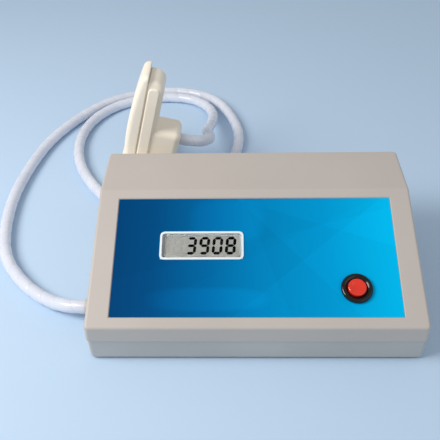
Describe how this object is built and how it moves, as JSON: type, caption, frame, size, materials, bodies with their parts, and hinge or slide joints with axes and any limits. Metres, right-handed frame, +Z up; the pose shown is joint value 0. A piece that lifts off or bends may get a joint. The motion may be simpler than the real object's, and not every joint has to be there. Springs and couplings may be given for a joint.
{
  "type": "electronic spirometer",
  "caption": "Desk spirometer: sloped case with blue label, numeric display and red push button, and a hand-held flow head with mouthpiece on a free hose.",
  "frame": {"origin": "on the table, under the middle of the box round the case and the handset together, the hose left out", "axes": "+X to the right along the front of the case, +Y back along the mouthpiece, +Z up"},
  "size_m": [0.2953, 0.3404, 0.103],
  "materials": {
    "case_upper": "fine matt texture",
    "case_lower": "fine matt texture",
    "steel": "zinc plated",
    "rubber": "matt",
    "label": "blue printed film",
    "frame_white": "satin",
    "clear_window": "clear",
    "lcd": "grey reflective",
    "circuit_board": "solder mask",
    "black_gloss": "polished",
    "red_cap": "polished",
    "black_nut": "moulded",
    "tin": "tinned",
    "lead_red": "sleeved wire",
    "chip_black": "moulded",
    "sensor_grey": "moulded",
    "tube_silicone": "soft",
    "ribbon": "flat cable",
    "foam": "foam",
    "battery_wrap": "shrink wrap",
    "nickel": "nickel plated",
    "lead_black": "sleeved wire",
    "port_grey": "moulded",
    "handset_cream": "satin",
    "flow_white": "moulded",
    "mouth_white": "smooth",
    "hose_white": "milky, spiral ribbed"
  },
  "bodies": {
    "host": {"upper_shell": "case_upper", "lower_shell": "case_lower", "case_screws": "steel", "rubber_feet": "rubber", "front_label": "label", "display_frame": "frame_white", "display_window": "clear_window", "display_glass": "lcd", "display_board": "circuit_board", "display_screws": "steel", "button_housing": "black_gloss", "button_nut": "black_nut", "button_terminals": "tin", "button_leads": "lead_red", "main_board": "circuit_board", "board_screws": "steel", "board_chips": "chip_black", "pressure_sensor": "sensor_grey", "sensor_tubes": "tube_silicone", "ribbon_cable": "ribbon", "battery_pad": "foam", "battery_pack": "battery_wrap", "battery_leads": "lead_red", "power_jack": "black_gloss", "jack_nut": "nickel", "jack_leads": "lead_black", "hose_port": "port_grey", "port_lock_ring": "port_grey", "hose": "hose_white"},
    "button": {"button_cap": "red_cap"},
    "handset": {"handset_left_shell": "handset_cream", "handset_right_shell": "handset_cream", "handset_screws": "steel", "flow_tube": "flow_white", "end_rings": "handset_cream", "outlet_grille": "flow_white", "handset_gland": "port_grey", "tap_tubes": "tube_silicone"},
    "mouthpiece_set": {"mouthpiece": "mouth_white", "mouthpiece_seal": "rubber"}
  },
  "joints": [
    {"name": "button_press", "type": "slide", "parent": "host", "child": "button", "axis": [0, 0.3824, -0.924], "range_m": [0, 0.0025], "stiffness_N_per_m": 400, "springref_m": -0.002},
    {"name": "handset_lift", "type": "slide", "parent": "host", "child": "handset", "axis": [0, 0, 1], "range_m": [0, 0.03]},
    {"name": "mouthpiece_pull", "type": "slide", "parent": "handset", "child": "mouthpiece_set", "axis": [0, 1, 0], "range_m": [0, 0.03]}
  ]
}
